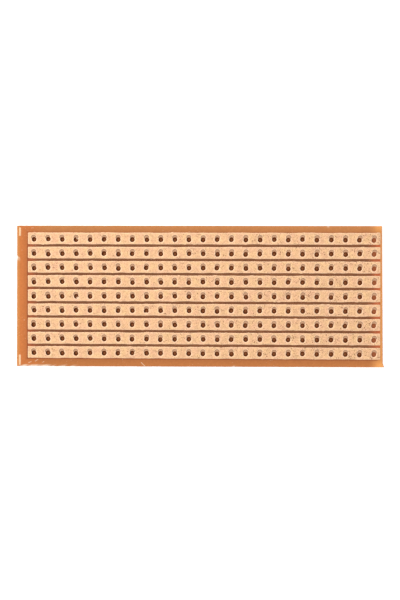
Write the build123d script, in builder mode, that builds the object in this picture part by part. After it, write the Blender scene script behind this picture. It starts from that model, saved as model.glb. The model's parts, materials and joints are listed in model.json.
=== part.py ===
from build123d import *
import os

# Strip-pattern prototype board: one sheet of phenolic paper laminate with nine parallel
# copper foil strips bonded to its upper face, and a punched grid of component lead holes.
# The board lies flat, copper side up. +X runs along the strips, +Y across them, +Z is up.
# The origin is the centre of the bottom of the board's box.

# ---- Driving dimensions, millimetres ----
board_length = 65.65         # along the bottom edge
board_width = 25.25          # along the left edge
board_thickness = 1.6        # laminate and foil together
foil_thickness = 0.035       # one ounce copper

top_edge_shortfall = 0.2     # the right edge was sheared out of square, so the top edge is shorter
right_edge_shortfall = 0.15  # the bottom edge climbs towards the right
spur_reach = 0.25            # burr left by the shear, beyond the bottom right corner
spur_height = 0.55           # how far up the right edge the burr fades out

hole_pitch = 2.54            # standard tenth of an inch grid
hole_rows = 9
hole_columns = 25
hole_diameter = 0.85
first_column_inset = 3.15    # left edge to the centre of the first hole
first_row_inset = 2.53       # top edge to the centre of the first hole

foil_pitch = 2.547           # the etched artwork is a little larger than the punched grid
foil_length = 63.2
foil_width = 2.08
foil_corner_radius = 0.08
foil_shift = 0.20            # the artwork sits above the punched grid by this much
opening_shift = 0.33         # etched opening centre above its punched hole
opening_diameter = 0.94

mark_width = 0.36            # copper corner marks beside the left edge
mark_corner_radius = 0.06
mark_inset = 0.58            # left edge to the middle of a mark
top_mark_length = 1.5
top_mark_inset = 0.36        # top edge to the end of the upper mark
bottom_mark_length = 1.85
bottom_mark_inset = 0.24     # bottom edge to the end of the lower mark

# ---- Places worked out from them ----
laminate_thickness = board_thickness - foil_thickness
left = -(board_length + spur_reach) / 2
right = left + board_length
top = board_width / 2
bottom = -board_width / 2

grid_x = left + first_column_inset + hole_pitch * (hole_columns - 1) / 2
grid_y = top - first_row_inset - hole_pitch * (hole_rows - 1) / 2
middle_row = (hole_rows - 1) / 2
foil_plane = Plane.XY.offset(laminate_thickness)

os.makedirs("parts", exist_ok=True)


# ---- Laminate board ----
with BuildPart() as board:
    with BuildSketch() as blank:
        with BuildLine():
            Polyline(
                (left, bottom),
                (right + spur_reach, bottom + right_edge_shortfall),
                (right, bottom + right_edge_shortfall + spur_height),
                (right - top_edge_shortfall, top),
                (left, top),
                close=True,
            )
        make_face()
        with Locations((grid_x, grid_y)):
            with GridLocations(hole_pitch, hole_pitch, hole_columns, hole_rows):
                Circle(hole_diameter / 2, mode=Mode.SUBTRACT)
    extrude(amount=laminate_thickness)

board.part.label = "board"
export_step(board.part, "parts/board.step")


# ---- Copper foil strips, numbered from the top edge down ----
def build_foil_strip(row):
    """One strip: an etched bar, its etched centre openings and the holes punched through it."""
    hole_y = grid_y + (middle_row - row) * hole_pitch
    strip_y = grid_y + foil_shift + (middle_row - row) * foil_pitch
    opening_y = strip_y + opening_shift - foil_shift
    with BuildPart() as strip:
        with BuildSketch(foil_plane):
            with Locations((grid_x, strip_y)):
                RectangleRounded(foil_length, foil_width, foil_corner_radius)
            with Locations((grid_x, opening_y)):
                with GridLocations(foil_pitch, foil_pitch, hole_columns, 1):
                    Circle(opening_diameter / 2, mode=Mode.SUBTRACT)
            with Locations((grid_x, hole_y)):
                with GridLocations(hole_pitch, hole_pitch, hole_columns, 1):
                    Circle(hole_diameter / 2, mode=Mode.SUBTRACT)
        extrude(amount=foil_thickness)
    return strip.part


for row in range(hole_rows):
    foil_strip = build_foil_strip(row)
    foil_strip.label = f"foil_strip_{row + 1}"
    export_step(foil_strip, f"parts/foil_strip_{row + 1}.step")


# ---- Copper corner marks, the trim guides beside the left edge ----
with BuildPart() as corner_mark_top:
    with BuildSketch(foil_plane):
        with Locations((left + mark_inset, top - top_mark_inset - top_mark_length / 2)):
            RectangleRounded(mark_width, top_mark_length, mark_corner_radius)
    extrude(amount=foil_thickness)

corner_mark_top.part.label = "corner_mark_top"
export_step(corner_mark_top.part, "parts/corner_mark_top.step")

with BuildPart() as corner_mark_bottom:
    with BuildSketch(foil_plane):
        with Locations((left + mark_inset, bottom + bottom_mark_inset + bottom_mark_length / 2)):
            RectangleRounded(mark_width, bottom_mark_length, mark_corner_radius)
    extrude(amount=foil_thickness)

corner_mark_bottom.part.label = "corner_mark_bottom"
export_step(corner_mark_bottom.part, "parts/corner_mark_bottom.step")
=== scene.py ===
# Prototype strip board: the finish of a sheet of phenolic paper laminate with etched copper strips.
# Everything is in metres in the frame's own axes: +X along the strips, +Y across them, +Z up.

import json
import logging
import math
from dataclasses import dataclass, field
from enum import Enum

import bpy
import numpy as np
from mathutils import Euler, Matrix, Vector


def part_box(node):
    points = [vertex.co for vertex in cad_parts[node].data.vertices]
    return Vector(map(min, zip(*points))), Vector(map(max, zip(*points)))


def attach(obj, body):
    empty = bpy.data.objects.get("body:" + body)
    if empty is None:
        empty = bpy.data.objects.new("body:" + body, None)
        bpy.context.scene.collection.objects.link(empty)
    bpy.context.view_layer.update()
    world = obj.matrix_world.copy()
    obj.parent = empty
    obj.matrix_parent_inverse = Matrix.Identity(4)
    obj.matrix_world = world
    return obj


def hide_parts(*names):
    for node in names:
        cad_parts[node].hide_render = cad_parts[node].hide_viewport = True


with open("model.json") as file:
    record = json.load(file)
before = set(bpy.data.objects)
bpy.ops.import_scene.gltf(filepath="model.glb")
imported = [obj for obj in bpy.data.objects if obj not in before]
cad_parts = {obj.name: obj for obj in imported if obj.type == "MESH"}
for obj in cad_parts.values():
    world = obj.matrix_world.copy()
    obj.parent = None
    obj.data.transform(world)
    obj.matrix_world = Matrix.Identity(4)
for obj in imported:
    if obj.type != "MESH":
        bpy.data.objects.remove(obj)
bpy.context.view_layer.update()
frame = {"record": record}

MM = 0.001
BODY = "root"
SPUR_REACH = 0.25 * MM
STRIP_COUNT = 9
TURN = 2.0 * math.pi

log = logging.getLogger("prototype_board")


# ---------------------------------------------------------------- geometry helpers


class Side(Enum):
    """Which way a skin of quads faces, seen along its rings."""

    INWARD_RINGS = False
    OUTWARD_RINGS = True


@dataclass(frozen=True)
class Wander:
    """A smooth random wave along a line, such as an etched or a sheared edge.

    The wave is a sum of sines: each has its own wavelength, drawn between the two limits,
    and its own phase, and all have the same share of the whole amplitude.
    """

    amplitude: float
    shortest: float
    longest: float
    seed: int
    waves: int = 7

    def at(self, along: np.ndarray) -> np.ndarray:
        """Height of the wave at places along the line.

        Args:
            along: Distances along the line, of any shape.

        Returns:
            The wave's heights, in the same shape, between plus and minus the amplitude.
        """
        rng = np.random.default_rng(self.seed)
        lengths = rng.uniform(self.shortest, self.longest, self.waves)
        phases = rng.uniform(0.0, TURN, self.waves)
        angles = TURN * np.asarray(along)[..., None] / lengths + phases
        return self.amplitude * np.sin(angles).sum(axis=-1) / math.sqrt(2.0 * self.waves)


def smooth_step(value: np.ndarray, low: float, high: float) -> np.ndarray:
    """Smooth rise from 0 at low to 1 at high: 3t^2 - 2t^3 with t the share of the way.

    Args:
        value: Values to place between the two ends.
        low: Where the rise starts.
        high: Where it is complete.

    Returns:
        The rise at each value, from 0 to 1.
    """
    share = np.clip((value - low) / (high - low), 0.0, 1.0)
    return share * share * (3.0 - 2.0 * share)


@dataclass(frozen=True)
class CellLattice:
    """A sheet cut into square cells by a lattice of points, numbered row by row.

    Only the points on cell sides are used: neighbouring cells share them, so the sheet has no seams.
    """

    columns: int
    rows: int
    steps: int

    @property
    def wide(self) -> int:
        """Lattice steps across the sheet."""
        return self.columns * self.steps

    @property
    def high(self) -> int:
        """Lattice steps up the sheet."""
        return self.rows * self.steps

    def places(self) -> np.ndarray:
        """Every lattice point's (column, row) place, in cells.

        Returns:
            An array of shape (points, 2).
        """
        across, up = np.meshgrid(np.arange(self.wide + 1), np.arange(self.high + 1))
        return np.stack([across.ravel(), up.ravel()], axis=1) / self.steps

    def _round(self, left: np.ndarray, low: np.ndarray, width: int, height: int) -> np.ndarray:
        """Numbers of the lattice points round rectangles, anticlockwise from the lower left.

        Args:
            left: Lattice column of each rectangle's left side.
            low: Lattice row of each rectangle's lower side.
            width: Steps along the lower side.
            height: Steps up the right side.

        Returns:
            An array of shape (rectangles, 2 * (width + height)).
        """
        w, h = np.arange(width), np.arange(height)
        across = np.concatenate([w, np.full(height, width), width - w, np.zeros(height, int)])
        up = np.concatenate([np.zeros(width, int), h, np.full(width, height), height - h])
        return (low[:, None] + up) * (self.wide + 1) + left[:, None] + across

    def cell_loops(self) -> np.ndarray:
        """The lattice points round each cell, cells row by row from the lower left.

        Returns:
            An array of shape (rows * columns, 4 * steps).
        """
        left, low = np.meshgrid(np.arange(self.columns), np.arange(self.rows))
        return self._round(left.ravel() * self.steps, low.ravel() * self.steps, self.steps, self.steps)

    def border_loop(self) -> np.ndarray:
        """The lattice points round the whole sheet, anticlockwise from the lower left."""
        return self._round(np.array([0]), np.array([0]), self.wide, self.high)[0]


class MeshGatherer:
    """Collects points, their marks and quads, and turns them into one closed piece."""

    def __init__(self, mark_names: tuple[str, ...] = ()) -> None:
        """Starts empty.

        Args:
            mark_names: Names of the values that each point carries for its material.
        """
        self.mark_names = mark_names
        self.points: list[np.ndarray] = []
        self.marks: list[np.ndarray] = []
        self.quads: list[np.ndarray] = []
        self.count = 0

    def add(self, points: np.ndarray, **marks: np.ndarray | float) -> np.ndarray:
        """Adds points.

        Args:
            points: Places, of shape (..., 3).
            **marks: A value for every point, or one value for all, by mark name.

        Returns:
            The points' numbers, of shape (...).
        """
        shape = points.shape[:-1]
        total = int(np.prod(shape))
        values = [np.broadcast_to(marks.get(name, 0.0), shape).reshape(total) for name in self.mark_names]
        self.points.append(points.reshape(total, 3))
        self.marks.append(np.stack(values, axis=1) if values else np.zeros((total, 0)))
        numbers = self.count + np.arange(total).reshape(shape)
        self.count += total
        return numbers

    def skin_rings(self, rings: np.ndarray, side: Side) -> None:
        """Joins neighbouring closed rings of points with quads.

        Args:
            rings: Point numbers of shape (..., rings, points round), anticlockwise from above.
            side: INWARD_RINGS where each next ring lies inside the last on an upper face,
                OUTWARD_RINGS where it lies outside it.
        """
        here, there = rings[..., :-1, :], rings[..., 1:, :]
        corners = [here, np.roll(here, -1, axis=-1), np.roll(there, -1, axis=-1), there]
        if side is Side.OUTWARD_RINGS:
            corners.reverse()
        self.quads.append(np.stack(corners, axis=-1).reshape(-1, 4))

    def skin_grid(self, grid: np.ndarray, upward: bool) -> None:
        """Joins an open grid of points with quads.

        Args:
            grid: Point numbers of shape (up, across), with across along +X and up along +Y.
            upward: True where the grid faces +Z, False where it faces -Z.
        """
        corners = [grid[:-1, :-1], grid[:-1, 1:], grid[1:, 1:], grid[1:, :-1]]
        if not upward:
            corners.reverse()
        self.quads.append(np.stack(corners, axis=-1).reshape(-1, 4))

    def piece(self, name: str, smooth_angle: float = math.radians(40.0)) -> bpy.types.Object:
        """Makes the gathered mesh an object of the scene, without the points that no quad uses.

        Args:
            name: The piece's name.
            smooth_angle: Edges that turn by less than this are shaded smooth.

        Returns:
            The new object, at the origin.
        """
        quads = np.concatenate(self.quads)
        used, renumbered = np.unique(quads, return_inverse=True)
        points = np.concatenate(self.points)[used]
        marks = np.concatenate(self.marks)[used]
        mesh = bpy.data.meshes.new(name)
        mesh.from_pydata(points, [], renumbered.reshape(-1, 4))
        mesh.update()
        for column, mark_name in enumerate(self.mark_names):
            layer = mesh.attributes.new(mark_name, "FLOAT", "POINT")
            layer.data.foreach_set("value", marks[:, column].astype(np.float32))
        mesh.shade_smooth()
        mesh.set_sharp_from_angle(angle=smooth_angle)
        obj = bpy.data.objects.new(name, mesh)
        bpy.context.scene.collection.objects.link(obj)
        return obj


# ---------------------------------------------------------------- shader helpers


class NodeBench:
    """Short calls for laying out the nodes of one material or node group."""

    def __init__(self, tree: bpy.types.NodeTree) -> None:
        """Works on a tree.

        Args:
            tree: The material's or the group's node tree.
        """
        self.tree = tree

    def node(self, kind: str, inputs: dict | None = None, **settings: object) -> bpy.types.Node:
        """Adds a node.

        Args:
            kind: The node's type name.
            inputs: Input name or number to a value, or to a socket to link it to.
            **settings: The node's own properties.

        Returns:
            The new node.
        """
        made = self.tree.nodes.new(kind)
        for key, value in settings.items():
            setattr(made, key, value)
        for key, value in (inputs or {}).items():
            self.feed(made.inputs[key], value)
        return made

    def feed(self, socket: bpy.types.NodeSocket, value: object) -> None:
        """Links a socket to another, or sets its own value.

        Args:
            socket: The input to feed.
            value: A socket, a number or a colour.
        """
        if isinstance(value, bpy.types.NodeSocket):
            self.tree.links.new(value, socket)
        elif isinstance(value, tuple) and len(value) == 3 and socket.type == "RGBA":
            socket.default_value = (*value, 1.0)
        else:
            socket.default_value = value

    def math(self, operation: str, *values: object, clamp: bool = False) -> bpy.types.NodeSocket:
        """Adds a Math node and gives its result.

        Args:
            operation: The Math node's operation.
            *values: One to three numbers or sockets.
            clamp: Whether the result is held between 0 and 1.

        Returns:
            The node's output.
        """
        made = self.node("ShaderNodeMath", dict(enumerate(values)), operation=operation, use_clamp=clamp)
        return made.outputs[0]

    def rise(self, value: object, low: object, high: object, to_low: float = 0.0,
             to_high: float = 1.0) -> bpy.types.NodeSocket:
        """Smooth change from to_low where value is low to to_high where it is high.

        Args:
            value: The number to place between low and high.
            low: Where the change starts.
            high: Where it is complete.
            to_low: The result at low and beyond.
            to_high: The result at high and beyond.

        Returns:
            The result's socket.
        """
        inputs = {"Value": value, "From Min": low, "From Max": high, "To Min": to_low, "To Max": to_high}
        return self.node("ShaderNodeMapRange", inputs, interpolation_type="SMOOTHSTEP").outputs[0]

    def mix(self, factor: object, first: object, second: object,
            blend: str = "MIX") -> bpy.types.NodeSocket:
        """Mixes two colours.

        Args:
            factor: 0 for the first colour, 1 for the second.
            first: A colour or a socket.
            second: A colour or a socket.
            blend: The Mix node's blend type.

        Returns:
            The mixed colour's socket.
        """
        made = self.node("ShaderNodeMix", data_type="RGBA", blend_type=blend, clamp_factor=True)
        self.feed(made.inputs[0], factor)
        self.feed(made.inputs[6], first)
        self.feed(made.inputs[7], second)
        return made.outputs[2]

    def noise(self, vector: object, grain: float, detail: float = 2.0, roughness: float = 0.5,
              distortion: float = 0.0) -> bpy.types.NodeSocket:
        """Noise about 0.5 whose spots are about one grain across.

        Args:
            vector: The place to read it at.
            grain: The size of a spot, in metres.
            detail: Finer layers on top of the first.
            roughness: How strong the finer layers are.
            distortion: How far the pattern is stirred.

        Returns:
            The noise's value socket.
        """
        inputs = {"Vector": vector, "Scale": 1.0 / grain, "Detail": detail, "Roughness": roughness,
                  "Distortion": distortion}
        return self.node("ShaderNodeTexNoise", inputs).outputs["Fac"]

    def tint(self, colour: object, other: object, mask: object, share: object) -> bpy.types.NodeSocket:
        """Mixes a share of another colour in where a mask is high.

        Args:
            colour: The colour so far.
            other: The colour mixed in.
            mask: Where it goes, 0 to 1.
            share: How much of it there is where the mask is 1.

        Returns:
            The mixed colour's socket.
        """
        return self.mix(self.math("MULTIPLY", mask, share), colour, other)

    def shade(self, colour: object, lightness: object) -> bpy.types.NodeSocket:
        """Multiplies a colour by a lightness, which may change over the surface.

        Args:
            colour: The colour so far.
            lightness: What it is multiplied by.

        Returns:
            The shaded colour's socket.
        """
        grey = self.node("ShaderNodeCombineColor", {0: lightness, 1: lightness, 2: lightness})
        return self.mix(1.0, colour, grey.outputs[0], "MULTIPLY")

    def vector(self, operation: str, *values: object) -> bpy.types.NodeOutputs:
        """Adds a Vector Math node.

        Args:
            operation: The node's operation.
            *values: One to three vectors or sockets.

        Returns:
            The node's outputs, of which the operation fills Vector or Value.
        """
        return self.node("ShaderNodeVectorMath", dict(enumerate(values)), operation=operation).outputs

    def axes(self, place: object) -> bpy.types.NodeOutputs:
        """Splits a place into its X, Y and Z sockets."""
        return self.node("ShaderNodeSeparateXYZ", {0: place}).outputs

    def stretched(self, place: object, x: float, y: float) -> bpy.types.NodeSocket:
        """A place whose X and Y are scaled, so that a pattern runs long along them.

        Args:
            place: The place.
            x: Scale along X.
            y: Scale along Y.

        Returns:
            The scaled place's socket.
        """
        return self.node("ShaderNodeMapping", {"Vector": place, "Scale": (x, y, 1.0)}).outputs[0]

    def seen(self) -> bpy.types.NodeSocket:
        """1 for rays that the eye follows: from the camera, off a gloss or through a clear piece.

        Returns:
            The socket, 0 for every other ray.
        """
        paths = self.node("ShaderNodeLightPath").outputs
        direct = self.math("MAXIMUM", paths["Is Camera Ray"], paths["Is Glossy Ray"])
        return self.math("MAXIMUM", direct, paths["Is Transmission Ray"])

    def masked(self, group: bpy.types.NodeTree, inputs: dict) -> bpy.types.NodeSocket:
        """Places a shared effect in the tree.

        Args:
            group: The effect's node group.
            inputs: Input name to a value, or to a socket to link it to.

        Returns:
            The group's mask output.
        """
        made = self.tree.nodes.new("ShaderNodeGroup")
        made.node_tree = group
        for key, value in inputs.items():
            self.feed(made.inputs[key], value)
        return made.outputs["Mask"]

    def place(self) -> bpy.types.NodeSocket:
        """The point's place in the frame, in metres."""
        return self.node("ShaderNodeTexCoord").outputs["Object"]

    def mark(self, name: str) -> bpy.types.NodeSocket:
        """A value that the mesh carries on its points."""
        return self.node("ShaderNodeAttribute", attribute_name=name).outputs["Fac"]

    def bump(self, height: object, strength: float, distance: float) -> bpy.types.NodeSocket:
        """A normal tilted by a height pattern.

        Args:
            height: The height, 0 to 1.
            strength: How much of the tilt is used.
            distance: The real height that 1 stands for, in metres.

        Returns:
            The normal's socket.
        """
        inputs = {"Strength": strength, "Distance": distance, "Height": height}
        return self.node("ShaderNodeBump", inputs).outputs[0]


def new_group(name: str, inputs: dict[str, tuple[str, object]], outputs: dict[str, str]) -> tuple:
    """Starts a shader node group with named sockets.

    Args:
        name: The group's name.
        inputs: Input name to its socket type and default value.
        outputs: Output name to its socket type.

    Returns:
        The group, a bench for its tree, its input node and its output node.
    """
    group = bpy.data.node_groups.new(name, "ShaderNodeTree")
    for socket_name, (kind, value) in inputs.items():
        made = group.interface.new_socket(socket_name, in_out="INPUT", socket_type=kind)
        if value is not None:
            made.default_value = value
    for socket_name, kind in outputs.items():
        group.interface.new_socket(socket_name, in_out="OUTPUT", socket_type=kind)
    bench = NodeBench(group)
    return group, bench, bench.node("NodeGroupInput"), bench.node("NodeGroupOutput")


def new_material(name: str, **constants: object) -> tuple:
    """Starts a material on a Principled shader.

    Args:
        name: The material's name.
        **constants: Shader values that are the same all over, with _ for a space in their names.

    Returns:
        The material, a bench for its tree and its Principled node.
    """
    material = bpy.data.materials.new(name)
    material.use_nodes = True
    bench = NodeBench(material.node_tree)
    shader = material.node_tree.nodes["Principled BSDF"]
    for key, value in constants.items():
        bench.feed(shader.inputs[key.replace("_", " ")], value)
    return material, bench, shader


def hue(red: int, green: int, blue: int) -> tuple[float, float, float]:
    """A colour as the shaders take it, from its usual 0 to 255 screen values.

    Args:
        red: Red, 0 to 255.
        green: Green, 0 to 255.
        blue: Blue, 0 to 255.

    Returns:
        The linear colour.
    """
    screen = np.array([red, green, blue]) / 255.0
    linear = np.where(screen <= 0.04045, screen / 12.92, ((screen + 0.055) / 1.055) ** 2.4)
    return tuple(float(value) for value in linear)


@dataclass(frozen=True)
class Flecks:
    """Shared effect: small irregular flecks, such as tarnish specks, dust or resin spots."""

    name: str = "flecks"
    clustering: float = 0.35
    peak: float = 0.95
    amount_span: float = 0.25
    edge_softness: float = 0.05

    def group(self) -> bpy.types.NodeTree:
        """The group, made on first use. A fleck is where fine noise, thinned out by coarse noise, peaks.

        Returns:
            The node group, with a mask output from 0 to 1.
        """
        if self.name in bpy.data.node_groups:
            return bpy.data.node_groups[self.name]
        group, bench, start, end = new_group(
            self.name,
            {
                "Place": ("NodeSocketVector", None),
                "Fleck Size": ("NodeSocketFloat", 0.25 * MM),
                "Cluster Size": ("NodeSocketFloat", 3.0 * MM),
                "Amount": ("NodeSocketFloat", 0.3),
                "Seed": ("NodeSocketFloat", 0.0),
            },
            {"Mask": "NodeSocketFloat"},
        )
        fine_scale = bench.math("DIVIDE", 1.0, start.outputs["Fleck Size"])
        coarse_scale = bench.math("DIVIDE", 1.0, start.outputs["Cluster Size"])
        common = {"Vector": start.outputs["Place"], "W": start.outputs["Seed"]}
        fine_inputs = {**common, "Scale": fine_scale, "Detail": 1.5, "Roughness": 0.6}
        coarse_inputs = {**common, "Scale": coarse_scale, "Detail": 1.0}
        fine = bench.node("ShaderNodeTexNoise", fine_inputs, noise_dimensions="4D").outputs[0]
        coarse = bench.node("ShaderNodeTexNoise", coarse_inputs, noise_dimensions="4D").outputs[0]
        clustered = bench.math("MULTIPLY_ADD", coarse, self.clustering, fine)
        threshold = bench.math("MULTIPLY_ADD", start.outputs["Amount"], -self.amount_span, self.peak)
        upper = bench.math("ADD", threshold, self.edge_softness)
        bench.feed(end.inputs["Mask"], bench.rise(clustered, threshold, upper))
        return group

    def mask(self, bench: NodeBench, place: object, size: float, cluster: float, amount: object,
             seed: float) -> bpy.types.NodeSocket:
        """Places the group in a material.

        Args:
            bench: The material's bench.
            place: The point's place.
            size: A fleck's size in metres.
            cluster: The size of the patches that have more or fewer of them, in metres.
            amount: How many there are, 0 to 1.
            seed: Which random pattern.

        Returns:
            The mask's socket.
        """
        return bench.masked(self.group(), {
            "Place": place,
            "Fleck Size": size,
            "Cluster Size": cluster,
            "Amount": amount,
            "Seed": seed,
        })


@dataclass(frozen=True)
class Stroke:
    """Shared effect: one straight scratch or scuff, its ends in metres and its own width."""

    start: tuple[float, float]
    end: tuple[float, float]
    width: float
    name: str = "stroke"
    ragged_grain: float = 0.12 * MM
    ragged_span: tuple = (0.3, 1.1)
    core_share: float = 0.3

    def group(self) -> bpy.types.NodeTree:
        """The group, made on first use.

        A point's share of the way along the stroke is its offset from the start, dotted with the
        stroke and divided by the stroke's own square. The mask falls with its distance from the
        stroke there, which fine noise makes ragged.

        Returns:
            The node group, with a mask output from 0 to 1.
        """
        if self.name in bpy.data.node_groups:
            return bpy.data.node_groups[self.name]
        sockets = {key: ("NodeSocketVector", None) for key in ("Place", "Start", "Along")}
        sockets["Width"] = ("NodeSocketFloat", 0.1 * MM)
        group, bench, start, end = new_group(self.name, sockets, {"Mask": "NodeSocketFloat"})
        along = start.outputs["Along"]
        flat = bench.vector("MULTIPLY", start.outputs["Place"], (1.0, 1.0, 0.0))["Vector"]
        offset = bench.vector("SUBTRACT", flat, start.outputs["Start"])["Vector"]
        dotted = bench.vector("DOT_PRODUCT", offset, along)["Value"]
        square = bench.vector("DOT_PRODUCT", along, along)["Value"]
        share = bench.math("DIVIDE", dotted, square, clamp=True)
        nearest = bench.node("ShaderNodeVectorMath", {0: along, "Scale": share}, operation="SCALE")
        off_line = bench.vector("SUBTRACT", offset, nearest.outputs[0])["Vector"]
        away = bench.vector("LENGTH", off_line)["Value"]
        ragged = bench.noise(start.outputs["Place"], self.ragged_grain)
        fray = bench.rise(ragged, 0.3, 0.6, *self.ragged_span)
        reach = bench.math("MULTIPLY", start.outputs["Width"], fray)
        core = bench.math("MULTIPLY", reach, self.core_share)
        bench.feed(end.inputs["Mask"], bench.rise(away, reach, core))
        return group

    def mask(self, bench: NodeBench, place: object) -> bpy.types.NodeSocket:
        """Places the group in a material.

        Args:
            bench: The material's bench.
            place: The point's place.

        Returns:
            The mask's socket.
        """
        along = (self.end[0] - self.start[0], self.end[1] - self.start[1], 0.0)
        inputs = {"Place": place, "Start": (*self.start, 0.0), "Along": along, "Width": self.width}
        return bench.masked(self.group(), inputs)


FLECKS = Flecks()


# ---------------------------------------------------------------- finishes


@dataclass(frozen=True)
class CopperFoilFinish:
    """Bright rolled copper under a thin flux lacquer, with a painted highlight at its edges and lightly
    specked.
    """

    rose: tuple = hue(230, 181, 144)
    straw: tuple = hue(232, 189, 140)
    # painted highlight: lighter copper along the foil's edges and round the hole mouths
    edge_highlight: tuple = hue(250, 216, 184)
    speck: tuple = hue(118, 70, 44)
    haze: tuple = hue(214, 160, 122)
    # painted shade: dark copper along the etched edge of each opening
    etched: tuple = hue(98, 58, 36)
    scuffs: tuple = (
        Stroke((28.9 * MM, -6.0 * MM), (29.7 * MM, -5.1 * MM), 0.07 * MM),
        Stroke((29.5 * MM, -6.1 * MM), (30.2 * MM, -5.3 * MM), 0.06 * MM),
        Stroke((30.2 * MM, -5.9 * MM), (30.9 * MM, -5.2 * MM), 0.06 * MM),
        Stroke((31.9 * MM, -10.5 * MM), (31.9 * MM, -9.7 * MM), 0.09 * MM),
    )
    roughness: float = 0.42
    patch_size: float = 1.6 * MM
    grain_size: float = 0.24 * MM
    grain_shade: tuple = (0.80, 1.15)
    cloud_size: float = 0.45 * MM
    cloud_share: float = 0.30
    speck_size: float = 0.20 * MM
    speck_cluster: float = 0.9 * MM
    speck_span: tuple = (-25.0 * MM, 30.0 * MM)
    speck_amount: tuple = (0.52, 0.70)
    speck_seed: float = 5.0
    speck_share: float = 0.9
    scuff_share: float = 0.5
    edge_highlight_share: float = 0.45
    etch_shade_share: float = 0.9
    lacquer: tuple = (0.05, 0.20)
    roll_line: float = 0.09 * MM
    relief: float = 0.006 * MM

    def material(self) -> bpy.types.Material:
        """Makes the material. Specks grow denser towards the lower right corner.

        Returns:
            The copper material, which reads the marks rim, for a painted highlight, and etch, for a painted
            shade.
        """
        material, bench, shader = new_material("copper_foil", Metallic=1.0, Coat_Roughness=0.35)
        place = bench.place()
        axes = bench.axes(place)
        patches = bench.rise(bench.noise(place, self.patch_size, 3.0, 0.7), 0.30, 0.70)
        colour = bench.mix(patches, self.rose, self.straw)
        grain = bench.noise(place, self.grain_size, 2.0, 0.75)
        colour = bench.shade(colour, bench.rise(grain, 0.28, 0.72, *self.grain_shade))
        cloud = bench.rise(bench.noise(place, self.cloud_size, 2.0), 0.50, 0.72)
        colour = bench.tint(colour, self.haze, cloud, self.cloud_share)
        lower_right = bench.math("MULTIPLY_ADD", axes[1], -0.6, axes[0])
        amount = bench.rise(lower_right, *self.speck_span, *self.speck_amount)
        specks = FLECKS.mask(bench, place, self.speck_size, self.speck_cluster, amount, self.speck_seed)
        colour = bench.tint(colour, self.speck, specks, self.speck_share)
        for scuff in self.scuffs:
            colour = bench.tint(colour, self.speck, scuff.mask(bench, place), self.scuff_share)
        # painted highlight along the edges and hole mouths, read from the rim mark
        colour = bench.tint(colour, self.edge_highlight, bench.mark("rim"), self.edge_highlight_share)
        # painted shade along the etched edges of the openings, read from the etch mark
        colour = bench.tint(colour, self.etched, bench.mark("etch"), self.etch_shade_share)
        bench.feed(shader.inputs["Base Color"], colour)
        rough = bench.math("MULTIPLY_ADD", grain, 0.12, self.roughness - 0.06)
        bench.feed(shader.inputs["Roughness"], bench.math("MULTIPLY_ADD", specks, 0.2, rough))
        bench.feed(shader.inputs["Coat Weight"], bench.rise(patches, 0.0, 1.0, *self.lacquer))
        rolled = bench.stretched(place, 0.12, 1.0)
        height = bench.math("MULTIPLY_ADD", bench.noise(rolled, self.roll_line, 2.0), 0.5, grain)
        bench.feed(shader.inputs["Normal"], bench.bump(height, 0.25, self.relief))
        return material


@dataclass(frozen=True)
class FoilLayout:
    """Where the foil lies on the board, which the laminate's colour depends on."""

    centre: tuple[float, float]
    half_length: float
    half_height: float
    pitch: float
    board_centre: tuple[float, float]
    board_half: tuple[float, float]

    @classmethod
    def from_frame(cls) -> "FoilLayout":
        """Reads the layout from the CAD nodes' boxes.

        Returns:
            The layout.
        """
        low_first, high_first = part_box("foil_strip_1")
        low_last, high_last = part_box(f"foil_strip_{STRIP_COUNT}")
        low_board, high_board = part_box("board")
        centre = (low_last + high_first) / 2
        board_centre = (low_board + high_board) / 2
        board_half = (high_board - low_board) / 2
        return cls(
            centre=(centre.x, centre.y),
            half_length=(high_first.x - low_first.x) / 2,
            half_height=(high_first.y - low_last.y) / 2,
            pitch=(high_first.y - high_last.y) / (STRIP_COUNT - 1),
            board_centre=(board_centre.x, board_centre.y),
            board_half=(board_half.x, board_half.y),
        )

    def ends(self) -> tuple[float, float]:
        """Where the board begins and ends along X, with the burr."""
        return self.board_centre[0] - self.board_half[0], self.board_centre[0] + self.board_half[0]

    def sides(self) -> tuple[float, float]:
        """Where the left and right sides stand along X, the burr left out."""
        left, right = self.ends()
        return left, right - SPUR_REACH

    def edges(self) -> tuple[float, float]:
        """Where the lower and upper edges run along Y."""
        return self.board_centre[1] - self.board_half[1], self.board_centre[1] + self.board_half[1]


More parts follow.
